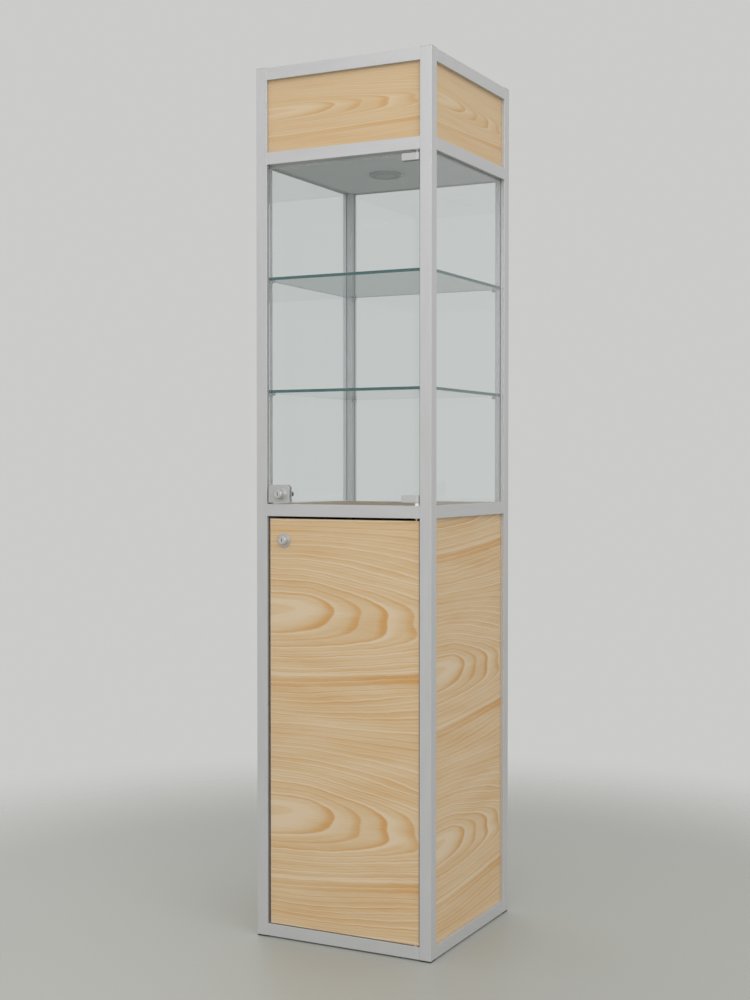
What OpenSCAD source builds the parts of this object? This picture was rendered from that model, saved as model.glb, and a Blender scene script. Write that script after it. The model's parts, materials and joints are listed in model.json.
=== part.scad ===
// Free-standing display case on a square footprint: an aluminium frame of 25 mm
// tube, a lockable wooden cabinet below, a glazed and lit showcase above it, and a
// closed wooden header. X is the width, Y runs from the front to the back, and Z
// goes up from the floor. The origin is on the floor, in the middle of the footprint.

/* [Overall] */
// Width over the frame
case_w = 400; // [340:5:600]
// Depth over the frame
case_d = 400; // [340:5:600]
// Height of the frame on its glides, with the caps
frame_h = 1800; // [1700:5:2200]
// Height of the cabinet, from the frame's underside to the top of the deck
cabinet_h = 900; // [700:5:1050]
// Height of the header, from the underside of the canopy rails to the top
header_h = 200; // [140:5:300]

/* [Frame tube] */
// Width of the square tube
tube_w = 25; // [24:0.5:28]
// Wall of the tube
wall = 1.6; // [1.2:0.1:1.8]
// Radius of the tube's outer edges
edge_r = 0.5; // [0.2:0.1:1]
// Distance from the tube's outer face to the panel groove
groove_inset = 7.5; // [6.5:0.1:8]
// Width of the panel groove
groove_w = 6.4; // [6.2:0.1:7]
// Depth of the panel groove
groove_depth = 9; // [8.5:0.1:9.5]
// Length of a connector inside its rail
connector_len = 30; // [20:1:45]
// How far a connector's tongue goes into the post
tongue_len = 7; // [4:0.5:7.5]

/* [Feet and caps] */
// Thickness of the nylon glide under each post
glide_t = 3; // [1.5:0.5:5]
// Thickness of the cap on each post
cap_t = 1.5; // [1:0.1:3]
// How far caps and glides plug into the tube
plug_depth = 12; // [8:1:20]

/* [Panels and glass] */
// Thickness of the wooden infill panels
panel_t = 6; // [5:0.1:6.1]
// Thickness of the fixed glass
glass_t = 5; // [4:0.1:5.2]
// How far panels and glass go into the grooves
grip = 8; // [6:0.1:8.2]
// Thickness of the showcase deck
deck_t = 15; // [12:0.5:18]
// Thickness of the cabinet floor
floor_t = 12; // [8:0.5:16]
// Thickness of the ceiling and top boards
ceiling_t = 6; // [4:0.5:8]
// Gap round a board that lies between rails
board_gap = 0.3; // [0.2:0.1:1]
// Leg of the angle strips that carry the boards
cleat_leg = 10; // [8:0.5:12]
// Thickness of the angle strips
cleat_t = 1.6; // [1.2:0.1:2.5]

/* [Shelves] */
// Thickness of the glass shelves
shelf_t = 6; // [5:0.5:8]
// Shelf edge to the case's outer face, at the sides and back
shelf_inset = 14.5; // [14.2:0.1:16]
// Shelf edge to the case's outer face, at the front
shelf_front_inset = 15.5; // [15.2:0.1:17]
// Gap between a shelf's corner notch and the post
notch_gap = 1; // [0.5:0.1:2]
// Diameter of the shelf pegs
peg_d = 5; // [4:0.5:5.5]
// How far a peg stands out of the post
peg_out = 9; // [7:0.5:14]

/* [Glass door] */
// Thickness of the glass door
door_glass_t = 5; // [4:0.1:5.5]
// Gap between the glass door and the posts
glass_side_gap = 2.5; // [2.5:0.1:4]
// Gap between the glass door and the rails above and below
glass_end_gap = 8; // [7.2:0.1:8.6]
// Middle of the glass door's thickness to the front face
glass_door_y = 7; // [7:0.1:7.5]
// Pivot axis to the hinge post
glass_pivot_x = 8.5; // [8.5:0.1:9.5]
// Length of a hinge clamp from the pivot axis
clamp_len = 32; // [26:0.5:45]
// Height of a hinge clamp
clamp_h = 14.5; // [12:0.5:22]
// Depth of a hinge clamp from front to back
clamp_depth = 14; // [12:0.2:14]
// Gap between a hinge clamp and the rail
clamp_end_gap = 6; // [5:0.1:6.4]

/* [Wooden door] */
// Thickness of the wooden door
door_t = 15; // [12:0.5:16]
// How far the wooden door stands back from the front face
door_recess = 4; // [3:0.1:5]
// Gap at the lock edge of the wooden door
door_lock_gap = 5; // [3:0.1:6]
// Gap at the hinge edge of the wooden door
door_hinge_gap = 3; // [3:0.1:4]
// Gap above the wooden door
door_top_gap = 5; // [3:0.1:7]
// Gap below the wooden door
door_bottom_gap = 1.5; // [1.2:0.1:4]
// Pivot axis to the hinge post
door_pivot_x = 12; // [11.5:0.1:14]
// Radius of the door's hinge edges
door_edge_r = 1.5; // [1:0.1:3]
// Length of the steel pivot plates
pivot_plate_len = 40; // [30:1:60]
// Thickness of the steel pivot plates
pivot_plate_t = 2; // [1.5:0.1:3]

/* [Pivots] */
// Diameter of the pivot pins
pin_d = 5; // [4:0.1:5.5]
// Radial clearance between a pin and its bush
pin_play = 0.05; // [0.02:0.01:0.1]
// Outer diameter of the pivot bushes
bush_d = 8; // [7.5:0.1:8]
// Length of a bush inside its rail
bush_len = 9; // [6:0.5:11]

/* [Locks] */
// Lock axis of the glass door, to the lock post
glass_lock_x = 33.5; // [30:0.5:36]
// Lock axis of the glass door, above the deck
glass_lock_z = 21; // [20:0.5:23]
// Width of the glass lock's body
lock_body_w = 50; // [46:0.5:56]
// Height of the glass lock's body
lock_body_h = 37; // [35:0.5:44]
// How far the glass lock's cylinder stands out of its body
glass_cylinder_out = 16; // [8:0.5:20]
// Diameter of the ring at the foot of the glass lock's cylinder
glass_ring_d = 23; // [21:0.5:26]
// Lock axis of the wooden door, to the lock post
door_lock_x = 39.5; // [36:0.5:50]
// Lock axis of the wooden door, below the deck
door_lock_drop = 74; // [55:1:140]
// Diameter of the lock cylinders
cylinder_d = 19; // [17:0.5:20]
// How far the wooden door's lock cylinder stands out of the door
door_cylinder_out = 13; // [8:0.5:18]
// Diameter of the collar round the lock cylinder of the wooden door
collar_d = 28; // [24:0.5:32]
// Diameter of the turning lock plugs
plug_d = 12; // [10:0.5:13]
// Thickness of the lock cams
cam_t = 2; // [1.5:0.1:2.5]
// Width of the lock cams
cam_w = 10; // [9:0.5:12]
// Thickness of the keepers on the lock post
keeper_t = 1.4; // [1:0.1:2]
// Height of the keepers
keeper_h = 24; // [16:1:34]

/* [Lamp] */
// Diameter of the ceiling lamp
lamp_d = 68; // [56:1:90]
// How far the lamp hangs below the ceiling
lamp_drop = 7; // [5:0.5:12]
// Width of the lamp's rim
lamp_rim = 8; // [7:0.5:11]
// Length of the lamp's driver
driver_len = 110; // [80:1:130]
// Width of the lamp's driver
driver_w = 40; // [30:1:50]
// Height of the lamp's driver
driver_h = 22; // [16:1:30]
// Bore of the cable grommet
grommet_bore = 10; // [7:0.5:12]

/* [Hidden] */
$fn = 64;
over = 1;                                   // how far a cut runs past a face
fit = 0.2;                                  // gap between pieces that slot together
seat = 0.3;                                 // gap under a piece that rests on another
half_w = case_w / 2;
half_d = case_d / 2;
post_z = glide_t;                           // lower end of the posts
top_z = post_z + frame_h;                   // top of the caps
post_top = top_z - cap_t;                   // upper end of the posts
deck_z = post_z + cabinet_h;
canopy_z = top_z - header_h;
levels = [post_z, deck_z - tube_w, canopy_z, post_top - tube_w];
BASE = 0;
DECK = 1;
CANOPY = 2;
TOP = 3;
SIDES = ["front", "back", "left", "right"];
ENDS = [-1, 1];

// the hollow of a tube is left between its outer walls and the walls of the grooves
hollow_w = tube_w - 2 * wall;
strip_w = groove_inset - 2 * wall;          // narrow hollow outside a groove
inner_u = groove_inset + groove_w + wall;   // where the hollow inside a groove starts
inner_w = tube_w - wall - inner_u;
tongue_h = inner_w;

post_mid_u = inner_u + inner_w / 2;         // pegs and tongues go in here
shelf_step = (canopy_z - deck_z) / 3;       // from the deck to the middle of the lower shelf
shelf_zs = [for (k = [1, 2]) deck_z + k * shelf_step + shelf_t / 2];
peg_collar_d = peg_d + 3;
peg_collar_t = notch_gap - fit;
peg_in = 5;

// glass door
glass_axis = [half_w - tube_w - glass_pivot_x, glass_door_y - half_d];
glass_left = -half_w + tube_w + glass_side_gap;
glass_right = half_w - tube_w - glass_side_gap;
glass_bottom = deck_z + glass_end_gap;
glass_top = canopy_z - glass_end_gap;
slot_w = door_glass_t + 2 * fit;            // slot that holds the door's edge
clamp_screw_d = 4;
clamp_screw_xs = [clamp_len * 0.3, clamp_len * 0.75];

// glass door lock
glass_lock = [-half_w + tube_w + glass_lock_x, deck_z + glass_lock_z];
lock_body_left = glass_left + seat;
lock_body_z = deck_z + 3;
lock_body_r = 8;
lock_front_y = glass_axis.y - clamp_depth / 2;
lock_rear_y = glass_axis.y + clamp_depth / 2 - 1;
lock_boss_d = cylinder_d - 2;
glass_ring_t = 2;
glass_hole_d = lock_boss_d + 1;

// wooden door
door_front_y = door_recess - half_d;
door_back_y = door_front_y + door_t;
door_axis = [half_w - tube_w - door_pivot_x, door_front_y + door_t / 2];
door_left = -half_w + tube_w + door_lock_gap;
door_right = half_w - tube_w - door_hinge_gap;
door_bottom = levels[BASE] + tube_w + door_bottom_gap;
door_top = levels[DECK] - door_top_gap;
plate_w = 11;                               // pivot plates across the door's edge
door_lock = [-half_w + tube_w + door_lock_x, deck_z - door_lock_drop];
collar_t = 2.5;
head_bevel = 1.5;                           // at the front edge of both lock cylinders

// a keeper's lip lies behind the closed door, and the cam turns in behind the lip
cam_gap = 0.5;
plug_tail_d = 8;
nut_t = 2;
glass_lip_y = lock_rear_y + seat;
glass_cam_y = glass_lip_y + keeper_t + cam_gap;
door_lip_y = door_back_y + seat;
door_cam_y = door_lip_y + keeper_t + cam_gap;
glass_lip_x = 16;
door_lip_x = 9;
cam_hook = 4.5;                             // how far a cam reaches behind its lip
glass_cam_len = glass_lock_x - glass_lip_x + cam_hook;
door_cam_len = door_lock_x - door_lip_x + cam_hook;

// boards
board_w = case_w - 2 * tube_w - 2 * board_gap;
board_d = case_d - 2 * tube_w - 2 * board_gap;
floor_z = levels[BASE] + tube_w - floor_t;
deck_under = deck_z - deck_t;
ceiling_top = canopy_z + ceiling_t;
top_board_z = post_top - ceiling_t;

// lamp
lamp_body_d = lamp_d - 2 * lamp_rim;
lamp_body_h = 16;
lens_t = 2;
lens_recess = 0.6;
driver_at = [-80, 80];
grommet_at = [60, 50];                      // from the middle, above the canopy rail
grommet_d = grommet_bore + 8;

// ---- placing ----

// Puts a shape drawn in the corner frame at one corner of the case. In that frame
// X and Y run inwards from the two outer faces of the post.
module at_corner(sx, sy) {
    mirror([sx > 0 ? 1 : 0, 0, 0])
        mirror([0, sy > 0 ? 1 : 0, 0])
            translate([-half_w, -half_d, 0])
                children();
}

// Puts a shape drawn in the side frame on one side of the case. In that frame X runs
// along the side from its middle, and Y runs inwards from the outer face.
module on_side(side) {
    if (side == "front") translate([0, -half_d, 0]) children();
    if (side == "back") mirror([0, 1, 0]) translate([0, -half_d, 0]) children();
    if (side == "left") translate([-half_w, 0, 0]) rotate([0, 0, -90]) children();
    if (side == "right") mirror([1, 0, 0]) translate([-half_w, 0, 0]) rotate([0, 0, -90]) children();
}

// Length of a rail, from post to post
function span(side) = (side == "front" || side == "back" ? case_w : case_d) - 2 * tube_w;

// Turns a shape drawn along Z so that it lies along Y, from front to back
module along_y(x, y, z) {
    translate([x, y, z]) rotate([-90, 0, 0]) children();
}

module at_all_corners() {
    for (sx = ENDS, sy = ENDS) at_corner(sx, sy) children();
}

// ---- the tube's section ----

module rounded_square(size, r) {
    union() {
        translate([r, 0]) square([size - 2 * r, size]);
        translate([0, r]) square([size, size - 2 * r]);
        for (x = [r, size - r], y = [r, size - r]) translate([x, y]) circle(r);
    }
}

// A groove's room in the section, grown by skin on its closed sides. "up" and "down"
// open to the upper and lower face of a rail, "in" to a post's other inner face.
module groove(opens, skin = 0) {
    reach = groove_depth + skin;
    breadth = groove_w + 2 * skin;
    if (opens == "up")
        translate([groove_inset - skin, tube_w - reach]) square([breadth, reach + over]);
    if (opens == "down")
        translate([groove_inset - skin, -over]) square([breadth, reach + over]);
    if (opens == "in")
        translate([tube_w - reach, groove_inset - skin]) square([reach + over, breadth]);
}

module tube_section(grooves) {
    difference() {
        rounded_square(tube_w, edge_r);
        difference() {
            translate([wall, wall]) square(hollow_w);
            for (g = grooves) groove(g, wall);
        }
        for (g = grooves) groove(g);
    }
}

// ---- frame ----

// The tongue of a connector in the side frame, at one end of a rail. Tongues from the
// front and back rails sit low and those from the side rails high, so that they pass.
module tongue(side, end, z, gap) {
    low = side == "front" || side == "back";
    z0 = low ? wall + fit : tube_w - wall - fit - tongue_h;
    x0 = span(side) / 2 - (gap > 0 ? gap : over);
    on_side(side)
        mirror([end < 0 ? 1 : 0, 0, 0])
            translate([x0, inner_u + fit - gap, z + z0 - gap])
                cube([tongue_len + (gap > 0 ? 2 * gap : over),
                      inner_w - 2 * fit + 2 * gap, tongue_h + 2 * gap]);
}

module connector(side, end, z) {
    union() {
        on_side(side)
            mirror([end < 0 ? 1 : 0, 0, 0])
                translate([span(side) / 2 - connector_len, inner_u + fit, z + wall + fit])
                    cube([connector_len, inner_w - 2 * fit, hollow_w - 2 * fit]);
        tongue(side, end, z, 0);
    }
}

module peg_hole(z) {
    translate([tube_w - wall - over, post_mid_u, z])
        rotate([0, 90, 0])
            cylinder(d = peg_d + 0.1, h = wall + 2 * over);
}

function peg_z(shelf_z) = shelf_z - shelf_t - seat - peg_d / 2;

module post(sx, sy) {
    color([0.66, 0.66, 0.65])
        difference() {
            at_corner(sx, sy)
                translate([0, 0, post_z])
                    linear_extrude(post_top - post_z) tube_section(["up", "in"]);
            for (z = levels) {
                tongue(sy < 0 ? "front" : "back", sx, z, fit / 2);
                tongue(sx < 0 ? "left" : "right", -sy, z, fit / 2);
            }
            for (z = shelf_zs) at_corner(sx, sy) peg_hole(peg_z(z));
        }
}

// A rail between the posts, on one side and at one level
module rail(side, level, grooves) {
    color([0.66, 0.66, 0.65])
        on_side(side)
            translate([0, 0, levels[level]])
                rotate([90, 0, 90])
                    linear_extrude(span(side), center = true) tube_section(grooves);
}

module bush_hole(axis, z) {
    translate([axis.x, axis.y, z - wall - over])
        cylinder(d = bush_d + 0.1, h = 2 * wall + 2 * over);
}

module base_rail_front() {
    difference() {
        rail("front", BASE, []);
        bush_hole(door_axis, levels[BASE] + tube_w);
    }
}

module deck_rail_front() {
    difference() {
        rail("front", DECK, []);
        bush_hole(door_axis, levels[DECK]);
        bush_hole(glass_axis, deck_z);
    }
}

module canopy_rail_front() {
    difference() {
        rail("front", CANOPY, ["up"]);
        bush_hole(glass_axis, canopy_z);
    }
}

module rail_connectors() {
    color([0.5, 0.5, 0.52])
        for (side = SIDES, end = ENDS, z = levels) connector(side, end, z);
}

// A plate that closes a post's end, with an angled stem inside the outer hollow
module end_plug(plate_w, plate_t) {
    inset = (tube_w - plate_w) / 2;
    arm_w = strip_w - 2 * fit;
    arm_len = hollow_w - 2 * fit;
    translate([inset, inset, 0])
        linear_extrude(plate_t) rounded_square(plate_w, edge_r);
    translate([wall + fit, wall + fit, plate_t - over / 2])
        linear_extrude(plug_depth + over / 2)
            union() {
                square([arm_w, arm_len]);
                square([arm_len, arm_w]);
            }
}

module post_caps() {
    color([0.55, 0.55, 0.55])
        at_all_corners()
            translate([0, 0, top_z]) mirror([0, 0, 1]) end_plug(tube_w, cap_t);
}

module foot_glides() {
    color([0.08, 0.08, 0.08])
        at_all_corners() end_plug(tube_w - 1, glide_t);
}

// ---- boards between the rails ----

module board(z, t) {
    translate([-board_w / 2, -board_d / 2, z]) cube([board_w, board_d, t]);
}

module floor_panel() {
    color([0.72, 0.58, 0.42]) board(floor_z, floor_t);
}

module deck_panel() {
    color([0.72, 0.58, 0.42]) board(deck_under, deck_t);
}

module ceiling_panel() {
    color([0.86, 0.86, 0.84])
        difference() {
            board(canopy_z, ceiling_t);
            translate([0, 0, canopy_z - over])
                cylinder(d = lamp_body_d + 2 * fit, h = ceiling_t + 2 * over);
        }
}

module top_panel() {
    color([0.72, 0.58, 0.42]) board(top_board_z, ceiling_t);
}

// An angle strip on a rail's inner face; up = 1 puts its flat leg at the bottom
module cleat(side, z, up) {
    trim = side == "front" || side == "back" ? 1 : cleat_leg + 1;
    length = span(side) - 2 * trim;
    on_side(side)
        translate([0, tube_w, z])
            mirror([0, 0, up ? 0 : 1])
                rotate([90, 0, 90])
                    linear_extrude(length, center = true)
                        union() {
                            square([cleat_leg, cleat_t]);
                            square([cleat_t, cleat_leg]);
                        }
}

module panel_cleats() {
    color([0.6, 0.6, 0.6])
        for (side = SIDES) {
            cleat(side, floor_z, false);
            cleat(side, deck_under, false);
            cleat(side, ceiling_top, true);
            cleat(side, top_board_z, false);
        }
}

// ---- panels and glass in the grooves ----

// A sheet held by the grooves of a side, between the rails at two levels
module infill(side, level, t, reach) {
    z0 = levels[level] + tube_w;
    z1 = levels[level + 1];
    on_side(side)
        translate([-span(side) / 2 - reach, groove_inset + (groove_w - t) / 2, z0 - reach])
            cube([span(side) + 2 * reach, t, z1 - z0 + 2 * reach]);
}

module wood_infill(side, level) {
    color([0.74, 0.62, 0.46]) infill(side, level, panel_t, grip);
}

module glass_infill(side) {
    color([0.8, 0.9, 0.9, 0.35]) infill(side, DECK, glass_t, grip);
}

module header_back() {
    difference() {
        wood_infill("back", CANOPY);
        along_y(grommet_at.x, half_d - groove_inset - groove_w - over, canopy_z + grommet_at.y)
            cylinder(d = grommet_d + 0.1, h = groove_w + 2 * over);
    }
}

// The gaskets line the groove round each pane and stop level with the tube's face
module glazing_gaskets() {
    base_t = groove_depth - grip - fit;
    color([0.12, 0.12, 0.12])
        for (side = ["left", "right", "back"])
            difference() {
                infill(side, DECK, groove_w, grip + base_t);
                infill(side, DECK, glass_t, grip);
                infill(side, DECK, groove_w + 2 * over, 0);
            }
}

// ---- shelves ----

module shelf(z) {
    w = case_w - 2 * shelf_inset;
    d = case_d - shelf_inset - shelf_front_inset;
    notch = tube_w + notch_gap;
    color([0.75, 0.88, 0.87, 0.45])
        difference() {
            translate([-w / 2, shelf_front_inset - half_d, z - shelf_t]) cube([w, d, shelf_t]);
            at_all_corners()
                translate([-over, -over, z - shelf_t - over])
                    cube([notch + over, notch + over, shelf_t + 2 * over]);
        }
}

module shelf_peg(z) {
    translate([tube_w - peg_in, post_mid_u, peg_z(z)])
        rotate([0, 90, 0])
            union() {
                cylinder(d = peg_d, h = peg_in + peg_out);
                translate([0, 0, peg_in]) cylinder(d = peg_collar_d, h = peg_collar_t);
            }
}

module shelf_pegs() {
    color([0.35, 0.35, 0.36])
        for (z = shelf_zs) at_all_corners() shelf_peg(z);
}

// ---- lamp ----

module lamp_housing() {
    r = lamp_d / 2;
    round_r = lamp_drop * 0.6;
    color([0.82, 0.82, 0.82])
        translate([0, 0, canopy_z])
            difference() {
                union() {
                    rotate_extrude()
                        union() {
                            translate([0, round_r - lamp_drop]) square([r, lamp_drop - round_r]);
                            translate([0, -lamp_drop]) square([r - round_r, lamp_drop]);
                            intersection() {
                                translate([r - round_r, round_r - lamp_drop]) circle(round_r);
                                translate([0, -lamp_drop]) square([r, lamp_drop]);
                            }
                        }
                    cylinder(d = lamp_body_d, h = lamp_body_h);
                }
                translate([0, 0, -lamp_drop - over])
                    cylinder(d = lamp_body_d - 4, h = lamp_drop + over);
            }
}

module lamp_lens() {
    color([0.95, 0.95, 0.9])
        translate([0, 0, canopy_z - lamp_drop + lens_recess])
            cylinder(d = lamp_body_d - 4 - 2 * fit, h = lens_t);
}

module lamp_driver() {
    lug = 12;
    lug_t = 3;
    color([0.9, 0.9, 0.9])
        translate([driver_at.x, driver_at.y, ceiling_top])
            difference() {
                union() {
                    translate([-driver_len / 2, -driver_w / 2, 0]) cube([driver_len, driver_w, driver_h]);
                    translate([-driver_len / 2 - lug, -driver_w / 2, 0])
                        cube([driver_len + 2 * lug, driver_w, lug_t]);
                }
                for (x = ENDS)
                    translate([x * (driver_len / 2 + lug / 2), 0, -over])
                        cylinder(d = 4.5, h = lug_t + 2 * over);
            }
}

module cable_grommet() {
    flange_t = 2;
    outer_y = half_d - groove_inset - (groove_w - panel_t) / 2;
    color([0.05, 0.05, 0.05])
        along_y(grommet_at.x, outer_y - panel_t - flange_t, canopy_z + grommet_at.y)
            difference() {
                union() {
                    cylinder(d = grommet_d, h = panel_t + 2 * flange_t);
                    cylinder(d = grommet_d + 6, h = flange_t);
                    translate([0, 0, panel_t + flange_t]) cylinder(d = grommet_d + 6, h = flange_t);
                }
                translate([0, 0, -over]) cylinder(d = grommet_bore, h = panel_t + 2 * flange_t + 2 * over);
            }
}

// ---- pivots ----

// A flanged bush in the rail face at height z. dir = 1 points it up into the rail above
// the door, and dir = -1 down into the rail below it.
module bush(axis, z, dir, flange_t) {
    translate([axis.x, axis.y, z])
        mirror([0, 0, dir > 0 ? 0 : 1])
            difference() {
                union() {
                    cylinder(d = bush_d, h = bush_len);
                    translate([0, 0, -flange_t]) cylinder(d = bush_d + 3, h = flange_t);
                }
                translate([0, 0, -flange_t - over])
                    cylinder(d = pin_d + 2 * pin_play, h = bush_len + flange_t + 2 * over);
            }
}

module pivot_bushes() {
    color([0.9, 0.9, 0.88]) {
        bush(glass_axis, canopy_z, 1, 1);
        bush(glass_axis, deck_z, -1, clamp_end_gap - seat);
        bush(door_axis, levels[DECK], 1, 1);
        bush(door_axis, levels[BASE] + tube_w, -1, door_bottom_gap - seat);
    }
}

// A bent strip on the lock post: a leg on the post's back, a web, and the lip
module keeper(lip_y, lip_x, z) {
    foot = 9;
    post_x = -half_w + tube_w;
    back_y = -half_d + tube_w;
    color([0.62, 0.62, 0.63])
        translate([0, 0, z - keeper_h / 2])
            linear_extrude(keeper_h)
                union() {
                    translate([post_x - foot, back_y]) square([foot + keeper_t, keeper_t]);
                    translate([post_x, lip_y]) square([keeper_t, back_y - lip_y + keeper_t]);
                    translate([post_x, lip_y]) square([lip_x, keeper_t]);
                }
}

module door_keepers() {
    keeper(glass_lip_y, glass_lip_x, glass_lock[1]);
    keeper(door_lip_y, door_lip_x, door_lock[1]);
}

// ---- glass door ----

module glass_door_pane() {
    color([0.8, 0.92, 0.9, 0.35])
        difference() {
            translate([glass_left, glass_axis.y - door_glass_t / 2, glass_bottom])
                cube([glass_right - glass_left, door_glass_t, glass_top - glass_bottom]);
            along_y(glass_lock[0], glass_axis.y - door_glass_t / 2 - over, glass_lock[1])
                cylinder(d = glass_hole_d, h = door_glass_t + 2 * over);
        }
}

// A hinge clamp about the pivot axis, drawn as the upper one with its pin upwards; z = 0
// is the face next to the rail
module hinge_clamp() {
    web = glass_end_gap - clamp_end_gap - fit;
    pin_up = clamp_end_gap + bush_len - 1;
    color([0.78, 0.78, 0.79])
        difference() {
            union() {
                translate([0, 0, -clamp_h])
                    linear_extrude(clamp_h)
                        union() {
                            circle(d = clamp_depth);
                            translate([-clamp_len, -clamp_depth / 2]) square([clamp_len, clamp_depth]);
                        }
                translate([0, 0, -over]) cylinder(d = pin_d, h = pin_up + over);
            }
            translate([-clamp_len - over, -slot_w / 2, -clamp_h - over])
                cube([clamp_len + clamp_depth + over, slot_w, clamp_h - web + over]);
            for (x = clamp_screw_xs)
                translate([-x, 0, -clamp_h / 2])
                    rotate([-90, 0, 0]) cylinder(d = clamp_screw_d + 0.1, h = clamp_depth);
        }
}

module place_upper_hinge() {
    translate([glass_axis.x, glass_axis.y, canopy_z - clamp_end_gap]) children();
}

module place_lower_hinge() {
    translate([glass_axis.x, glass_axis.y, deck_z + clamp_end_gap]) mirror([0, 0, 1]) children();
}

module glass_hinge_upper() {
    place_upper_hinge() hinge_clamp();
}

module glass_hinge_lower() {
    place_lower_hinge() hinge_clamp();
}

// Grub screws that press the glass against the front half of each clamp
module clamp_screws() {
    socket_d = 2;
    screw_len = (clamp_depth - slot_w) / 2 + fit - 0.1;
    for (x = clamp_screw_xs)
        translate([-x, door_glass_t / 2 + 0.1, -clamp_h / 2])
            rotate([-90, 0, 0])
                difference() {
                    cylinder(d = clamp_screw_d, h = screw_len);
                    translate([0, 0, screw_len - 2]) cylinder(d = socket_d, h = 2 + over, $fn = 6);
                }
}

module glass_hinge_screws() {
    color([0.3, 0.3, 0.3]) {
        place_upper_hinge() clamp_screws();
        place_lower_hinge() clamp_screws();
    }
}

// ---- locks ----

// Plate outline of the glass lock's body, with round upper corners
module lock_outline() {
    union() {
        square([lock_body_w, lock_body_h - lock_body_r]);
        translate([lock_body_r, 0]) square([lock_body_w - 2 * lock_body_r, lock_body_h]);
        for (x = [lock_body_r, lock_body_w - lock_body_r])
            translate([x, lock_body_h - lock_body_r]) circle(lock_body_r);
    }
}

// The lock's cylinder along Z, with a bevelled rim round its face at z = 0
module lock_head(length) {
    union() {
        cylinder(d1 = cylinder_d - 2 * head_bevel, d2 = cylinder_d, h = head_bevel);
        translate([0, 0, head_bevel]) cylinder(d = cylinder_d, h = length - head_bevel);
    }
}

module glass_lock_body() {
    depth = lock_rear_y - lock_front_y;
    head_y = lock_front_y - glass_cylinder_out;
    boss_rear = glass_cam_y - cam_gap + fit;
    color([0.72, 0.72, 0.73])
        difference() {
            union() {
                difference() {
                    translate([lock_body_left, lock_rear_y, lock_body_z])
                        rotate([90, 0, 0]) linear_extrude(depth) lock_outline();
                    translate([lock_body_left - over, glass_axis.y - slot_w / 2, glass_bottom - fit])
                        cube([lock_body_w + 2 * over, slot_w, lock_body_h]);
                }
                along_y(glass_lock[0], lock_front_y, glass_lock[1])
                    cylinder(d = lock_boss_d, h = boss_rear - lock_front_y);
                along_y(glass_lock[0], head_y, glass_lock[1]) lock_head(glass_cylinder_out + over);
                along_y(glass_lock[0], lock_front_y - glass_ring_t, glass_lock[1])
                    cylinder(d = glass_ring_d, h = glass_ring_t + over);
            }
            along_y(glass_lock[0], head_y - over, glass_lock[1])
                cylinder(d = plug_d + 2 * pin_play, h = boss_rear - head_y + 2 * over);
        }
}

// The turning plug, drawn along Z from its face to the end of its tail
module lock_plug(face_y, shoulder_y, tail_y) {
    slot_len = plug_d * 0.62;
    slot_depth = 8;
    color([0.8, 0.79, 0.74])
        difference() {
            union() {
                cylinder(d = plug_d, h = shoulder_y - face_y);
                cylinder(d = plug_tail_d, h = tail_y - face_y);
            }
            translate([-1, -slot_len / 2, -over]) cube([2, slot_len, slot_depth + over]);
        }
}

// Cam and its nut, drawn in the plane of the door with the arm along +X
module lock_cam(length) {
    hub_d = plug_tail_d + 8;
    color([0.66, 0.66, 0.67]) {
        linear_extrude(cam_t)
            difference() {
                union() {
                    circle(d = hub_d);
                    translate([0, -cam_w / 2]) square([length - cam_w / 2, cam_w]);
                    translate([length - cam_w / 2, 0]) circle(d = cam_w);
                }
                circle(d = plug_tail_d + 0.1);
            }
        translate([0, 0, cam_t])
            linear_extrude(nut_t)
                difference() {
                    circle(d = hub_d - 2, $fn = 6);
                    circle(d = plug_tail_d + 0.1);
                }
    }
}

module glass_lock_plug() {
    face = lock_front_y - glass_cylinder_out;
    along_y(glass_lock[0], face, glass_lock[1])
        lock_plug(face, glass_cam_y, glass_cam_y + cam_t + nut_t);
}

// The arm points away from the lock post, hidden behind the lock's body
module glass_lock_cam() {
    along_y(glass_lock[0], glass_cam_y, glass_lock[1]) lock_cam(glass_cam_len);
}

module cabinet_lock_housing() {
    head_y = door_front_y - door_cylinder_out;
    rear_y = door_cam_y - cam_gap + fit;
    color([0.74, 0.72, 0.68])
        difference() {
            union() {
                along_y(door_lock[0], head_y, door_lock[1]) lock_head(rear_y - head_y);
                along_y(door_lock[0], door_front_y - collar_t, door_lock[1])
                    cylinder(d = collar_d, h = collar_t);
            }
            along_y(door_lock[0], head_y - over, door_lock[1])
                cylinder(d = plug_d + 2 * pin_play, h = rear_y - head_y + 2 * over);
        }
    color([0.6, 0.6, 0.6])
        along_y(door_lock[0], door_back_y, door_lock[1])
            difference() {
                cylinder(d = cylinder_d + 9, h = rear_y - door_back_y, $fn = 6);
                translate([0, 0, -over]) cylinder(d = cylinder_d + 0.1, h = rear_y - door_back_y + 2 * over);
            }
}

module cabinet_lock_plug() {
    face = door_front_y - door_cylinder_out;
    along_y(door_lock[0], face, door_lock[1])
        lock_plug(face, door_cam_y, door_cam_y + cam_t + nut_t);
}

// The arm hangs down when the door is unlocked
module cabinet_lock_cam() {
    along_y(door_lock[0], door_cam_y, door_lock[1]) rotate([0, 0, 90]) lock_cam(door_cam_len);
}

// ---- wooden door ----

// Room for a pivot plate in the end of the door, with the plate's outer face at z = 0
module plate_pocket(gap) {
    width = plate_w + 2 * gap;
    left = door_axis.x + plate_w / 2 - pivot_plate_len;
    translate([left - gap, door_axis.y - width / 2, -pivot_plate_t - gap])
        cube([pivot_plate_len + 2 * gap, width, pivot_plate_t + gap + (gap > 0 ? over : 0)]);
}

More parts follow.
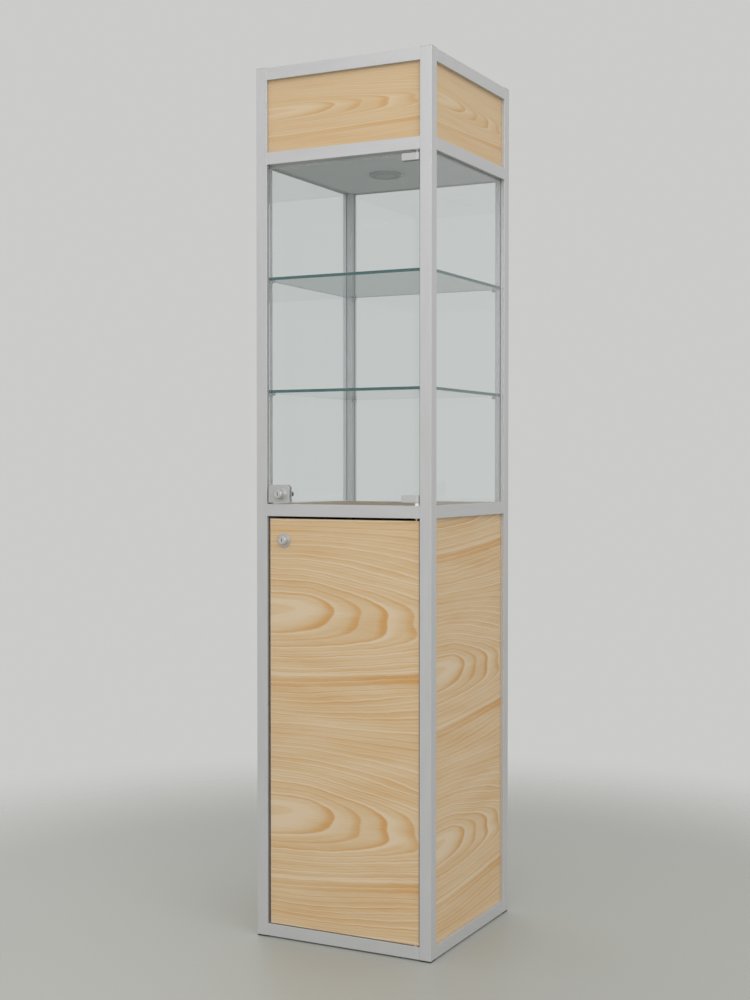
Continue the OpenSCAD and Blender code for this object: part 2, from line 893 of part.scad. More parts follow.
module cabinet_door_panel() {
    r = door_edge_r;
    color([0.74, 0.62, 0.46])
        difference() {
            translate([0, 0, door_bottom])
                linear_extrude(door_top - door_bottom)
                    union() {
                        translate([door_left, door_front_y]) square([door_right - door_left - r, door_t]);
                        translate([door_left, door_front_y + r])
                            square([door_right - door_left, door_t - 2 * r]);
                        for (y = [door_front_y + r, door_back_y - r])
                            translate([door_right - r, y]) circle(r);
                    }
            translate([0, 0, door_top]) plate_pocket(fit / 2);
            translate([0, 0, door_bottom]) mirror([0, 0, 1]) plate_pocket(fit / 2);
            along_y(door_lock[0], door_front_y - over, door_lock[1])
                cylinder(d = cylinder_d + 0.2, h = door_t + 2 * over);
        }
}

module pivot_plate(pin_up) {
    union() {
        plate_pocket(0);
        translate([door_axis.x, door_axis.y, -pivot_plate_t / 2])
            cylinder(d = pin_d, h = pin_up + pivot_plate_t / 2);
    }
}

module cabinet_pivot_plates() {
    color([0.6, 0.6, 0.61]) {
        translate([0, 0, door_top]) pivot_plate(door_top_gap + bush_len - 1);
        translate([0, 0, door_bottom]) mirror([0, 0, 1]) pivot_plate(door_bottom_gap + bush_len - 1);
    }
}

// ---- what is drawn ----

post(-1, -1);  // post_front_left
post(1, -1);  // post_front_right
post(-1, 1);  // post_back_left
post(1, 1);  // post_back_right
base_rail_front();
rail("back", BASE, ["up"]);  // base_rail_back
rail("left", BASE, ["up"]);  // base_rail_left
rail("right", BASE, ["up"]);  // base_rail_right
deck_rail_front();
rail("back", DECK, ["up", "down"]);  // deck_rail_back
rail("left", DECK, ["up", "down"]);  // deck_rail_left
rail("right", DECK, ["up", "down"]);  // deck_rail_right
canopy_rail_front();
rail("back", CANOPY, ["up", "down"]);  // canopy_rail_back
rail("left", CANOPY, ["up", "down"]);  // canopy_rail_left
rail("right", CANOPY, ["up", "down"]);  // canopy_rail_right
rail("front", TOP, ["down"]);  // top_rail_front
rail("back", TOP, ["down"]);  // top_rail_back
rail("left", TOP, ["down"]);  // top_rail_left
rail("right", TOP, ["down"]);  // top_rail_right
rail_connectors();
post_caps();
foot_glides();
floor_panel();
deck_panel();
ceiling_panel();
top_panel();
panel_cleats();
wood_infill("left", BASE);  // cabinet_side_left
wood_infill("right", BASE);  // cabinet_side_right
wood_infill("back", BASE);  // cabinet_back
glass_infill("left");  // side_glass_left
glass_infill("right");  // side_glass_right
glass_infill("back");  // back_glass
glazing_gaskets();
wood_infill("front", CANOPY);  // header_front
header_back();
wood_infill("left", CANOPY);  // header_left
wood_infill("right", CANOPY);  // header_right
shelf(shelf_zs[0]);  // shelf_lower
shelf(shelf_zs[1]);  // shelf_upper
shelf_pegs();
lamp_housing();
lamp_lens();
lamp_driver();
cable_grommet();
pivot_bushes();
door_keepers();
glass_door_pane();
glass_hinge_upper();
glass_hinge_lower();
glass_hinge_screws();
glass_lock_body();
glass_lock_plug();
glass_lock_cam();
cabinet_door_panel();
cabinet_pivot_plates();
cabinet_lock_housing();
cabinet_lock_plug();
cabinet_lock_cam();
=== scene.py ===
# Looks of the pedestal display case. Metres, +Z up, the doors face -Y.
# Every piece is placed by the boxes of the frame's nodes and rides on the frame's bodies.
import json
import math

import bmesh
import bpy
import numpy as np
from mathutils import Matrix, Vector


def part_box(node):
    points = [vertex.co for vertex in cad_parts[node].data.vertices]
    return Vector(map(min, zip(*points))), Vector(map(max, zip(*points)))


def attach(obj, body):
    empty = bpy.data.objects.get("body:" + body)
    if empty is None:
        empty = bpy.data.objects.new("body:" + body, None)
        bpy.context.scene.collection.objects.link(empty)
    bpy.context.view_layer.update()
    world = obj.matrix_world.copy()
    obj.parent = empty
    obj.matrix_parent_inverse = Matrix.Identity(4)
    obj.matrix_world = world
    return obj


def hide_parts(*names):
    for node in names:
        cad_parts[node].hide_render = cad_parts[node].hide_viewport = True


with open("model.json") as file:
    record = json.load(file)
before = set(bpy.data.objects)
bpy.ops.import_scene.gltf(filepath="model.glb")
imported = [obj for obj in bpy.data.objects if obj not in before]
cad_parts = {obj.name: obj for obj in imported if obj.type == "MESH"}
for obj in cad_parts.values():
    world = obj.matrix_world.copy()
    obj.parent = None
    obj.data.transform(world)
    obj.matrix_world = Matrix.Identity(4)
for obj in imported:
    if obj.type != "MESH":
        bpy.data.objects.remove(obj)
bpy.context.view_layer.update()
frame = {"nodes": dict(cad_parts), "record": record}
scene = bpy.context.scene
millimetre = 0.001
print("frame loaded:", len(frame["nodes"]), "nodes")


# Shader nodes, written short

def feed(tree, socket, value):
    # A socket takes a link, anything else becomes its value
    if isinstance(value, bpy.types.NodeSocket):
        tree.links.new(value, socket)
    elif value is not None:
        socket.default_value = value


def addNode(tree, kind, inputs=None, **settings):
    node = tree.nodes.new(kind)
    for key, value in settings.items():
        setattr(node, key, value)
    for key, value in (inputs or {}).items():
        feed(tree, node.inputs[key], value)
    return node


def maths(tree, operation, *values):
    node = addNode(tree, "ShaderNodeMath", operation=operation)
    for socket, value in zip(node.inputs, values):
        feed(tree, socket, value)
    return node.outputs[0]


def chained(tree, operation, values):
    # One operation over all the values, from the first to the last
    result = values[0]
    for value in values[1:]:
        result = maths(tree, operation, result, value)
    return result


def product(tree, *values):
    return chained(tree, "MULTIPLY", values)


def total(tree, *values):
    return chained(tree, "ADD", values)


def centred(tree, value, scale):
    # (value - 0.5) scale: a noise about 0.5 then swings about 0
    return maths(tree, "MULTIPLY", maths(tree, "SUBTRACT", value, 0.5), scale)


def ramp(tree, value, start, end, low, high):
    # A smooth step from low to high, while the value goes from start to end
    return mapRange(tree, value, start, end, low, high, "SMOOTHSTEP")


def mapRange(tree, value, start, end, low, high, kind="LINEAR"):
    node = addNode(tree, "ShaderNodeMapRange", {
        "Value": value, "From Min": start, "From Max": end, "To Min": low, "To Max": high,
    }, interpolation_type=kind)
    return node.outputs["Result"]


def mixColours(tree, share, first, second):
    node = addNode(tree, "ShaderNodeMix", data_type="RGBA", blend_type="MIX", clamp_factor=True)
    for index, value in ((0, share), (6, first), (7, second)):   # its colour sockets share a name
        feed(tree, node.inputs[index], value)
    return node.outputs[2]


def scaledColour(tree, colour, scale):
    node = addNode(tree, "ShaderNodeVectorMath", {0: colour, "Scale": scale}, operation="SCALE")
    return node.outputs["Vector"]


def noise(tree, vector, stretch, detail=2.0, roughness=0.5):
    # One number as the stretch gives an even noise, three give one drawn out along the axes
    scale = stretch
    if isinstance(stretch, tuple):
        mapping = addNode(tree, "ShaderNodeMapping", {"Vector": vector, "Scale": stretch})
        vector, scale = mapping.outputs["Vector"], 1.0
    node = addNode(tree, "ShaderNodeTexNoise", {
        "Vector": vector, "Scale": scale, "Detail": detail, "Roughness": roughness,
    })
    return node.outputs["Fac"]


def showMixed(tree, output, share, first, second):
    # The second shader shows by its share, and the first one by the rest
    mix = addNode(tree, "ShaderNodeMixShader", {
        0: share, 1: first.outputs[0], 2: second.outputs[0],
    })
    feed(tree, tree.nodes[output].inputs["Surface"], mix.outputs["Shader"])


def newGroup(name, inputs):
    # Every effect puts out a colour, a roughness and a height for the bump
    group = bpy.data.node_groups.new(name, "ShaderNodeTree")
    sockets = group.interface
    for label, (kind, value) in inputs.items():
        socket = sockets.new_socket(label, in_out="INPUT", socket_type="NodeSocket" + kind)
        if value is not None:
            socket.default_value = value
    for label, kind in (("Color", "Color"), ("Roughness", "Float"), ("Height", "Float")):
        sockets.new_socket(label, in_out="OUTPUT", socket_type="NodeSocket" + kind)
    entry = group.nodes.new("NodeGroupInput")
    leave = group.nodes.new("NodeGroupOutput")
    return group, entry.outputs, leave.inputs


# The grain of the laminate

grain = {
    "pale": (0.600, 0.473, 0.325, 1),    # early wood
    "body": (0.550, 0.393, 0.223, 1),
    "ring": (0.515, 0.285, 0.100, 1),    # late wood
    "pitch": 0.0095,                     # from ring to ring
    "spread": 0.050,                     # half width of the innermost arch
    "bluntness": 2.75,                   # 2 gives round arches, more gives blunt ones
    "taper": 0.16,                       # how fast the arches close along the board
    "lean": 0.70,                        # the share of the taper that the far rows keep
    "repeatBelow": 0.156,                # one repeat reaches this far below its middle row
    "repeatAbove": 0.264,
    "firstRing": -5.47,                  # moves the rings out or in
    "seed": 150571.0,
    # Waves that bend the rings: how fast they change along and across, and how far they reach
    "waviness": 0.007,
    "slowWave": (5, 12, 1),
    "quickWave": (22, 60, 1),
    "quickReach": 0.0042,
    "ringWave": (4, 22, 1),
    "ringReach": 0.3,                    # in rings
    # Where the arches open, and how softly the rows bend there
    "opening": 0.0925,
    "farBend": 0.09,
    "nearBend": (0.10, 0.02),            # below and above the middle row
    "bendFrom": (-0.04, 0.04),
    "fadeBelow": (-0.06, 0.0),
    "fadeAbove": 0.08,
    # Parts of a ring, as shares of the pitch. The wide marks of the arches' noses pass into
    # the thin marks of the long rows between these distances from the middle row.
    "noseEnds": (0.016, 0.042),
    "wideLate": (0.55, 0.92, 1),
    "thinLate": (0.66, 0.92, 0.6),
    "lateEnds": (0.94, 1.0),
    "wideEarly": (0.75, 0.8),
    "thinEarly": (0.40, 1.3),
    "veinWidth": 0.35,
    "veinShift": 0.45,
    # The marks' strength goes by chance from ring to ring: shift of the draw, least, most
    "lateChance": (0.0, 0.15, 1.0),
    "earlyChance": (0.5, 0.1, 1.0),
    "veinChance": (0.25, -0.3, 1.0),
    # The dark band between two repeats, measured from its own middle, and its pale edges
    "bandPlace": -0.1440,
    "bandRise": (-0.019, -0.004),
    "bandFall": (0.008, 0.0125),
    "bandAlong": (0.0, 0.30),
    "bandShade": (0.24, 0.46),
    "upperEdge": (0.0115, 0.0135, 0.0145, 0.019),
    "lowerEdge": (-0.0225, -0.020, -0.018, -0.015),
    "edgeShade": 0.5,
    # The pale heart inside the innermost arch
    "heartEdge": (0.050, 0.062),
    "heartAlong": (0.04, 0.15),
    "heartShade": 0.25,
    # The tones of pale, body and ring, and what each mark adds
    "tones": (0.0, 0.5, 1.1),
    "cloud": (3, 22, 1),
    "cloudTone": 0.95,
    "fibre": (14, 480, 1),
    "fibreRoughness": 0.65,
    "fibreTone": 0.75,
    "lateTone": 0.75,
    "earlyTone": -0.60,
    "veinTone": -0.38,
    "gloss": (0.42, 0.52),               # roughness of the palest and the darkest wood
    "fibreRelief": 0.6,
    "lateRelief": 0.4,
}


def makeCathedralGrain(values):
    # Flat-sawn grain, with s along the board and v across it, in metres. One repeat of v holds one
    # set of arches. The ring number is ((|v|^p + spread^p)^(1/p) + fade(v) climb(s)) / pitch, with
    # p the bluntness, where climb bends from level to a slope of taper, so the rings nest as blunt
    # arches open to the left. Each ring darkens outwards and ends at a sharp pale line. Far from
    # the arches the rows lean with the dark band that parts one repeat from the next, by climb
    # times the lean.
    tree, given, out = newGroup("Cathedral Grain", {
        "Vector": ("Vector", None),
        "Pale": ("Color", values["pale"]),
        "Body": ("Color", values["body"]),
        "Ring": ("Color", values["ring"]),
        "Pitch": ("Float", values["pitch"]),
        "Spread": ("Float", values["spread"]),
        "Taper": ("Float", values["taper"]),
        "Lean": ("Float", values["lean"]),
        "Repeat Below": ("Float", values["repeatBelow"]),
        "Repeat Above": ("Float", values["repeatAbove"]),
        "Waviness": ("Float", values["waviness"]),
        "First Ring": ("Float", values["firstRing"]),
        "Seed": ("Float", values["seed"]),
    })
    spot = given["Vector"]
    parts = addNode(tree, "ShaderNodeSeparateXYZ", {"Vector": spot}).outputs
    along, across = parts["X"], parts["Y"]

    def softened(value, softness, power=2.0):
        # (|value|^power + softness^power)^(1/power)
        size = maths(tree, "POWER", maths(tree, "ABSOLUTE", value), power)
        both = maths(tree, "ADD", size, maths(tree, "POWER", softness, power))
        return maths(tree, "POWER", both, 1 / power)

    def swing(stretch, reach):
        return centred(tree, noise(tree, spot, stretch, 1.0), reach)

    wave = total(tree, swing(values["slowWave"], given["Waviness"]),
                 swing(values["quickWave"], values["quickReach"]))
    past = maths(tree, "SUBTRACT", along, values["opening"])

    def climbing(softness):
        # (sqrt(past^2 + softness^2) + past) / 2, times the taper
        return product(tree, total(tree, softened(past, softness), past), 0.5, given["Taper"])

    leaning = product(tree, climbing(values["farBend"]), given["Lean"])
    level = maths(tree, "SUBTRACT", total(tree, across, wave), leaning)
    lowest = maths(tree, "MULTIPLY", given["Repeat Below"], -1.0)
    row = maths(tree, "WRAP", level, given["Repeat Above"], lowest)
    v = total(tree, leaning, row)

    distance = softened(v, given["Spread"], values["bluntness"])
    fadeBelow = ramp(tree, v, *values["fadeBelow"], given["Lean"], 1)
    fadeAbove = mapRange(tree, v, values["fadeAbove"], given["Repeat Above"],
                         0, total(tree, 1.0, given["Lean"]))
    bend = ramp(tree, v, *values["bendFrom"], *values["nearBend"])
    climb = product(tree, climbing(bend), maths(tree, "SUBTRACT", fadeBelow, fadeAbove))
    rings = maths(tree, "DIVIDE", total(tree, distance, climb), given["Pitch"])
    rings = total(tree, rings, given["First Ring"], swing(values["ringWave"], values["ringReach"]))
    part = maths(tree, "FRACT", rings)
    which = maths(tree, "FLOOR", rings)

    def chance(shift, least, most):
        number = total(tree, which, shift, given["Seed"])
        draw = addNode(tree, "ShaderNodeTexWhiteNoise", {"W": number}, noise_dimensions="1D")
        return mapRange(tree, draw.outputs["Value"], 0, 1, least, most)

    def hump(value, start, top, end, foot):
        # Rises from start to top and falls from end to foot
        return product(tree, ramp(tree, value, start, top, 0, values["edgeShade"]),
                       ramp(tree, value, end, foot, 1, 0))

    far = ramp(tree, maths(tree, "ABSOLUTE", v), *values["noseEnds"], 0, 1)
    nose = maths(tree, "SUBTRACT", 1.0, far)
    late = []
    for (start, end, most), where in ((values["wideLate"], nose), (values["thinLate"], far)):
        late.append(product(tree, ramp(tree, part, start, end, 0, most), where))
    lateWood = product(tree, total(tree, *late), ramp(tree, part, *values["lateEnds"], 1, 0),
                       chance(*values["lateChance"]))
    early = []
    for (end, most), where in ((values["wideEarly"], nose), (values["thinEarly"], far)):
        early.append(product(tree, ramp(tree, part, 0, end, most, 0), where))
    earlyWood = product(tree, total(tree, *early), chance(*values["earlyChance"]))
    vein = maths(tree, "FRACT", total(tree, rings, values["veinShift"]))
    vein = product(tree, ramp(tree, vein, 0, values["veinWidth"], 1, 0), far,
                   chance(*values["veinChance"]))

    fromBand = total(tree, row, -values["bandPlace"])
    band = product(tree, ramp(tree, fromBand, *values["bandRise"], 0, 1),
                   ramp(tree, fromBand, *values["bandFall"], 1, 0),
                   ramp(tree, along, *values["bandAlong"], *values["bandShade"]))
    bandEdges = total(tree, hump(fromBand, *values["upperEdge"]),
                      hump(fromBand, *values["lowerEdge"]))
    heart = product(tree, ramp(tree, distance, *values["heartEdge"], values["heartShade"], 0),
                    ramp(tree, along, *values["heartAlong"], 1, 0))
    fibre = noise(tree, spot, values["fibre"], 3.0, values["fibreRoughness"])

    cloud = noise(tree, spot, values["cloud"])

    pale, body, ring = values["tones"]
    tone = total(tree, body, centred(tree, cloud, values["cloudTone"]),
                 product(tree, lateWood, values["lateTone"]),
                 product(tree, earlyWood, values["earlyTone"]),
                 product(tree, vein, values["veinTone"]),
                 centred(tree, fibre, values["fibreTone"]), band)
    tone = chained(tree, "SUBTRACT", (tone, bandEdges, heart))

    colour = mixColours(tree, mapRange(tree, tone, pale, body, 0, 1), given["Pale"], given["Body"])
    colour = mixColours(tree, mapRange(tree, tone, body, ring, 0, 1), colour, given["Ring"])
    feed(tree, out["Color"], colour)
    feed(tree, out["Roughness"], mapRange(tree, tone, 0, 1, *values["gloss"]))
    feed(tree, out["Height"], total(tree, product(tree, fibre, values["fibreRelief"]),
                                    product(tree, lateWood, values["lateRelief"])))
    return tree


# The lines of drawn metal, and the skin of moulded, cast and coated parts

drawn = {
    "lines": (3, 2600, 2600),     # along the extrusion and across it
    "clouds": (9, 60, 60),
    "lineGrain": 0.65,
    "lineGloss": 0.12,            # how far the lines and clouds change the roughness
    "cloudGloss": 0.18,
}

moulded = {
    "mottleScale": 45.0,
    "pebbleShade": 0.6,           # of the mottle's
    "mottleGloss": 0.2,
}


def makeDrawnLines(values):
    # Fine lines that run with the length of an extrusion: noise stretched along the first axis,
    # over a slow cloud that shades the metal from place to place. The colour is scaled by
    # 1 + (line - 0.5) lines + (cloud - 0.5) clouds.
    tree, given, out = newGroup("Drawn Lines", {
        "Vector": ("Vector", None),
        "Color": ("Color", (0.7, 0.7, 0.7, 1)),
        "Lines": ("Float", 0.05),
        "Clouds": ("Float", 0.04),
        "Roughness": ("Float", 0.4),
    })
    line = noise(tree, given["Vector"], values["lines"], 3.0, values["lineGrain"])
    cloud = noise(tree, given["Vector"], values["clouds"], 3.0)
    shade = total(tree, 1.0, centred(tree, line, given["Lines"]),
                  centred(tree, cloud, given["Clouds"]))
    feed(tree, out["Color"], scaledColour(tree, given["Color"], shade))
    feed(tree, out["Roughness"], total(tree, given["Roughness"],
                                       centred(tree, cloud, values["cloudGloss"]),
                                       centred(tree, line, values["lineGloss"])))
    feed(tree, out["Height"], line)
    return tree


def makeMouldedSkin(values):
    # A fine pebbled skin with a slow mottle. The colour is scaled by
    # 1 + (mottle - 0.5) strength + (pebble - 0.5) strength pebbleShade.
    tree, given, out = newGroup("Moulded Skin", {
        "Vector": ("Vector", None),
        "Color": ("Color", (0.5, 0.5, 0.5, 1)),
        "Grain": ("Float", 2500.0),
        "Mottle": ("Float", 0.06),
        "Roughness": ("Float", 0.5),
    })
    pebble = noise(tree, given["Vector"], given["Grain"])
    mottle = noise(tree, given["Vector"], values["mottleScale"], 3.0)
    strength = given["Mottle"]
    pebbles = product(tree, strength, values["pebbleShade"])
    shade = total(tree, 1.0, centred(tree, mottle, strength), centred(tree, pebble, pebbles))
    feed(tree, out["Color"], scaledColour(tree, given["Color"], shade))
    feed(tree, out["Roughness"], total(tree, given["Roughness"],
                                       centred(tree, mottle, values["mottleGloss"])))
    feed(tree, out["Height"], pebble)
    return tree


cathedralGrain = makeCathedralGrain(grain)
drawnLines = makeDrawnLines(drawn)
mouldedSkin = makeMouldedSkin(moulded)


# Materials

metal = {"Metallic": 1.0}
platedLock = {"Metallic": 0.6}
anodised = {"Metallic": 0.55}
reliefDepth = 0.00005
tubeRelief = 0.15
boardRelief = 0.12

laminates = {
    # material: colours other than the grain's own, specular level
    "boardLaminate": ({}, 0.35),
    "headerLaminate": ({
        "Pale": (0.588, 0.452, 0.295, 1), "Ring": (0.528, 0.322, 0.142, 1),
    }, 0.35),
    # The deck takes the grain in darker, greyer tones: painted shade for the dim floor of the
    # case, on the same laminate as the other boards
    "deckLaminatePaintedShade": ({
        "Pale": (0.40, 0.32, 0.23, 1), "Body": (0.34, 0.255, 0.165, 1),
        "Ring": (0.29, 0.185, 0.095, 1),
    }, 0.1),
}

tubeFinish = {"Color": (0.585, 0.587, 0.59, 1), "Lines": 0.10, "Clouds": 0.08, "Roughness": 0.42}

skins = {
    # material: colour, grain, mottle, roughness, relief, the shader's own values
    "zincCasting": ((0.45, 0.45, 0.47, 1), 900, 0.20, 0.55, 0.40, metal),
    "capPlastic": ((0.46, 0.46, 0.46, 1), 2500, 0.06, 0.55, 0.25, {}),
    "glideNylon": ((0.02, 0.02, 0.02, 1), 2500, 0.06, 0.60, 0.25, {}),
    "ceilingCoat": ((0.90, 0.905, 0.90, 1), 2500, 0.03, 0.60, 0.08, {}),
    "millAluminium": ((0.55, 0.55, 0.55, 1), 2500, 0.12, 0.42, 0.10, metal),
    "greyRubber": ((0.52, 0.53, 0.53, 1), 2500, 0.06, 0.70, 0.30, {}),
    "grommetRubber": ((0.05, 0.05, 0.05, 1), 2500, 0.06, 0.65, 0.30, {}),
    "pegSteel": ((0.62, 0.62, 0.62, 1), 2500, 0.06, 0.35, 0.10, {"Metallic": 0.7}),
    "lampPaint": ((0.43, 0.43, 0.425, 1), 2500, 0.06, 0.40, 0.08, {"Coat Weight": 0.2}),
    "opalLens": ((0.66, 0.66, 0.65, 1), 2500, 0.02, 0.50, 0.05, {"Subsurface Weight": 0.2}),
    "driverPlastic": ((0.75, 0.75, 0.74, 1), 2500, 0.06, 0.50, 0.20, {}),
    "bushNylon": ((0.72, 0.72, 0.68, 1), 2500, 0.06, 0.45, 0.15, {}),
    "zincPlatedSteel": ((0.52, 0.52, 0.53, 1), 2500, 0.12, 0.32, 0.10, metal),
    "satinChrome": ((0.485, 0.485, 0.485, 1), 2500, 0.03, 0.55, 0.05,
                    {"Metallic": 0.25, "Specular IOR Level": 0.25}),
    "blackScrew": ((0.06, 0.06, 0.06, 1), 2500, 0.06, 0.40, 0.10, metal),
    "lockChrome": ((0.53, 0.53, 0.525, 1), 2500, 0.06, 0.45, 0.05, platedLock),
    "lockNickel": ((0.60, 0.59, 0.57, 1), 2500, 0.06, 0.42, 0.05, platedLock),
    "shelfEdge": ((0.045, 0.125, 0.12, 1), 300, 0.50, 0.08, 0.0, {"Specular IOR Level": 0.35}),
}

glasses = {
    # material: tint, tint of the shadow
    "clearGlass": ((0.945, 0.972, 0.972, 1), (0.99, 0.995, 0.995, 1)),
    "shelfGlass": ((0.80, 0.845, 0.85, 1), (0.96, 0.975, 0.975, 1)),
    "doorEdge": ((0.93, 0.975, 0.97, 1), (0.93, 0.975, 0.97, 1)),
}

slotFinish = {
    # slot of the record: the material that it takes
    "aluminium": "satinAnodised", "laminate": "boardLaminate", "connector_zinc": "zincCasting",
    "cap_plastic": "capPlastic", "glide_nylon": "glideNylon", "ceiling_board": "ceilingCoat",
    "cleat_aluminium": "millAluminium", "clear_glass": "clearGlass", "shelf_glass": "shelfGlass",
    "rubber": "greyRubber", "peg_steel": "pegSteel", "lamp_metal": "lampPaint",
    "lamp_opal": "opalLens", "driver_plastic": "driverPlastic", "bush_nylon": "bushNylon",
    "steel": "zincPlatedSteel", "hinge_metal": "satinChrome", "screw_steel": "blackScrew",
    "lock_metal": "lockChrome", "plug_metal": "lockNickel",
}


def newMaterial(name, plain):
    material = bpy.data.materials.new(name)
    material.use_nodes = True
    shader = material.node_tree.nodes["Principled BSDF"]
    for label, value in plain.items():
        shader.inputs[label].default_value = value
    return material, material.node_tree, shader


def dressed(name, group, values, plain, relief, uvMap=None):
    # One effect group feeds the shader's colour, roughness and bump. It reads the piece's own
    # map where the pattern follows the surface, and else its place on the object.
    material, tree, shader = newMaterial(name, plain)
    if uvMap:
        vector = addNode(tree, "ShaderNodeUVMap", uv_map=uvMap).outputs["UV"]
    else:
        vector = addNode(tree, "ShaderNodeTexCoord").outputs["Object"]
    effect = addNode(tree, "ShaderNodeGroup", node_tree=group)
    feed(tree, effect.inputs["Vector"], vector)
    for label, value in values.items():
        effect.inputs[label].default_value = value
    bump = addNode(tree, "ShaderNodeBump", {
        "Height": effect.outputs["Height"], "Strength": relief, "Distance": reliefDepth,
    })
    feed(tree, shader.inputs["Base Color"], effect.outputs["Color"])
    feed(tree, shader.inputs["Roughness"], effect.outputs["Roughness"])
    feed(tree, shader.inputs["Normal"], bump.outputs["Normal"])
    return material


def glassMaterial(name, tint, shadowTint):
    # Clear glass that lets the lamps through to what stands behind it
    material, tree, shader = newMaterial(name, {
        "Base Color": tint, "Roughness": 0.0, "IOR": 1.5, "Transmission Weight": 1.0,
    })
    shadow = addNode(tree, "ShaderNodeBsdfTransparent", {"Color": shadowTint})
    path = addNode(tree, "ShaderNodeLightPath")
    showMixed(tree, "Material Output", path.outputs["Is Shadow Ray"], shader, shadow)
    return material


def makeMaterials():
    made = {"satinAnodised": dressed("satinAnodised", drawnLines, tubeFinish, anodised,
                                     tubeRelief, "run")}
    for name, (colours, specular) in laminates.items():
        made[name] = dressed(name, cathedralGrain, colours, {"Specular IOR Level": specular},
                             boardRelief, "grain")
    for name, (colour, size, mottle, roughness, relief, plain) in skins.items():
        values = {"Color": colour, "Grain": size, "Mottle": mottle, "Roughness": roughness}
        made[name] = dressed(name, mouldedSkin, values, plain, relief)
    for name, (tint, shadowTint) in glasses.items():
        made[name] = glassMaterial(name, tint, shadowTint)
    return made


materials = makeMaterials()
print("materials made:", len(materials))


# Surfaces

def gridFaces(rings, around, looped=False):
    # Quads between neighbouring rings of a grid whose rings close on themselves. When looped,
    # the last ring also joins the first.
    rows = np.arange(rings if looped else rings - 1)
    row, column = np.meshgrid(rows, np.arange(around), indexing="ij")
    above = (row + 1) % rings
    following = (column + 1) % around
    quads = np.stack([row * around + column, row * around + following,
                      above * around + following, above * around + column], axis=-1)
    return quads.reshape(-1, 4).tolist()


def endFaces(rings, around):
    # One face over the first ring of a grid and one over the last, both turned outwards
    first = list(range(around))[::-1]
    return [first, list(range((rings - 1) * around, rings * around))]


def insetOutline(outline, inset):
    # Each corner moves along the bisector of its two edges, so that both edges move in by inset:
    # p + inset (n0 + n1) / (1 + n0 . n1), with n0 and n1 the inward normals of a loop that runs
    # counterclockwise
    edges = np.roll(outline, -1, axis=0) - outline
    edges /= np.linalg.norm(edges, axis=1)[:, None]
    after = np.stack([-edges[:, 1], edges[:, 0]], axis=1)
    before = np.roll(after, 1, axis=0)
    turn = 1 + (before * after).sum(axis=1)
    return outline + inset * (before + after) / turn[:, None]


def roundedEdges(low, high, bevel, steps=3):
    # How far each ring of a plate is drawn in, and its height. The ring at angle t lies
    # bevel (1 - cos t) from the end and is drawn in by bevel (1 - sin t), so each end has a
    # quarter round of that radius.
    angles = np.linspace(0, math.pi / 2, steps + 1)
    insets = bevel * (1 - np.sin(angles))
    depths = bevel * (1 - np.cos(angles))
    heights = np.concatenate([low + depths, (high - depths)[::-1]])
    return np.concatenate([insets, insets[::-1]]), heights


def lifted(rings, heights):
    # Flat rings of points, each at its own height, as one list of points
    count, around = rings.shape[:2]
    levels = np.repeat(heights, around).reshape(count, around, 1)
    return np.concatenate([rings, levels], axis=2).reshape(-1, 3)


def bevelledPlate(outline, low, high, bevel):
    # An outline carried from low to high, drawn in at both ends by the quarter rounds
    insets, heights = roundedEdges(low, high, bevel)
    rings = np.stack([insetOutline(outline, inset) for inset in insets])
    count, around = rings.shape[:2]
    return lifted(rings, heights), gridFaces(count, around) + endFaces(count, around)


def boredPlate(outline, centre, radius, low, high, bevel):
    # A plate with a round hole. Point k of the outer edge and point k of the hole lie in the same
    # direction from the hole's middle. The section goes up the outer edge and down the hole, with
    # quarter rounds as on a plain plate, and is carried round the hole.
    insets, heights = roundedEdges(low, high, bevel)
    outward = outline - centre
    outward /= np.linalg.norm(outward, axis=1)[:, None]
    outer = np.stack([insetOutline(outline, inset) for inset in insets])
    inner = centre + (radius + insets[::-1, None, None]) * outward
    rings = np.concatenate([outer, inner])
    points = lifted(rings, np.concatenate([heights, heights[::-1]]))
    return points, gridFaces(*rings.shape[:2], looped=True)


def edgeSeenFrom(centre, outline, steps=96, firstTurn=0.01):
    # The points where rays from the centre meet a rectangle, its four corners among them. The
    # first ray is turned a little, so that none runs level or upright.
    corners = outline - centre
    even = np.arange(steps) * 2 * math.pi / steps + firstTurn
    toCorners = np.arctan2(corners[:, 1], corners[:, 0]) % (2 * math.pi)
    turns = np.sort(np.concatenate([even, toCorners]))
    rays = np.stack([np.cos(turns), np.sin(turns)], axis=1)
    reach = np.where(rays > 0, corners[2], corners[0]) / rays
    return centre + rays * reach.min(axis=1)[:, None]


def roundedProfile(corners, closed=False, steps=4):
    # Each corner (r, h, round) gives way to a quarter round: the corner, plus round (1 - sin t)
    # towards the corner before it, plus round (1 - cos t) towards the one after it
    corners = np.asarray(corners, float)
    spots, rounds = corners[:, :2], corners[:, 2, None, None]
    before, after = np.roll(spots, 1, axis=0) - spots, np.roll(spots, -1, axis=0) - spots
    before /= np.linalg.norm(before, axis=1)[:, None]
    after /= np.linalg.norm(after, axis=1)[:, None]
    angles = np.linspace(0, math.pi / 2, steps + 1)[:, None]
    toBefore = (1 - np.sin(angles)) * before[:, None]
    toAfter = (1 - np.cos(angles)) * after[:, None]
    arcs = spots[:, None] + rounds * (toBefore + toAfter)
    if closed:
        return arcs.reshape(-1, 2)
    return np.concatenate([spots[:1], arcs[1:-1].reshape(-1, 2), spots[-1:]])


def revolved(profile, centre, axis, closed=False, steps=96):
    # Each point (r, h) of the profile goes round the axis: r cos t across, r sin t up, h along.
    # An open profile runs from the low end to the high end, and flat discs close it there.
    turns = np.arange(steps) * 2 * math.pi / steps
    radius, along = profile[:, :1], profile[:, 1:]
    points = np.stack([radius * np.cos(turns), radius * np.sin(turns), along + 0 * turns], axis=-1)
    faces = gridFaces(len(profile), steps, closed)
    if not closed:
        faces += endFaces(len(profile), steps)
    return turnTo(points.reshape(-1, 3), faces, axis, centre)


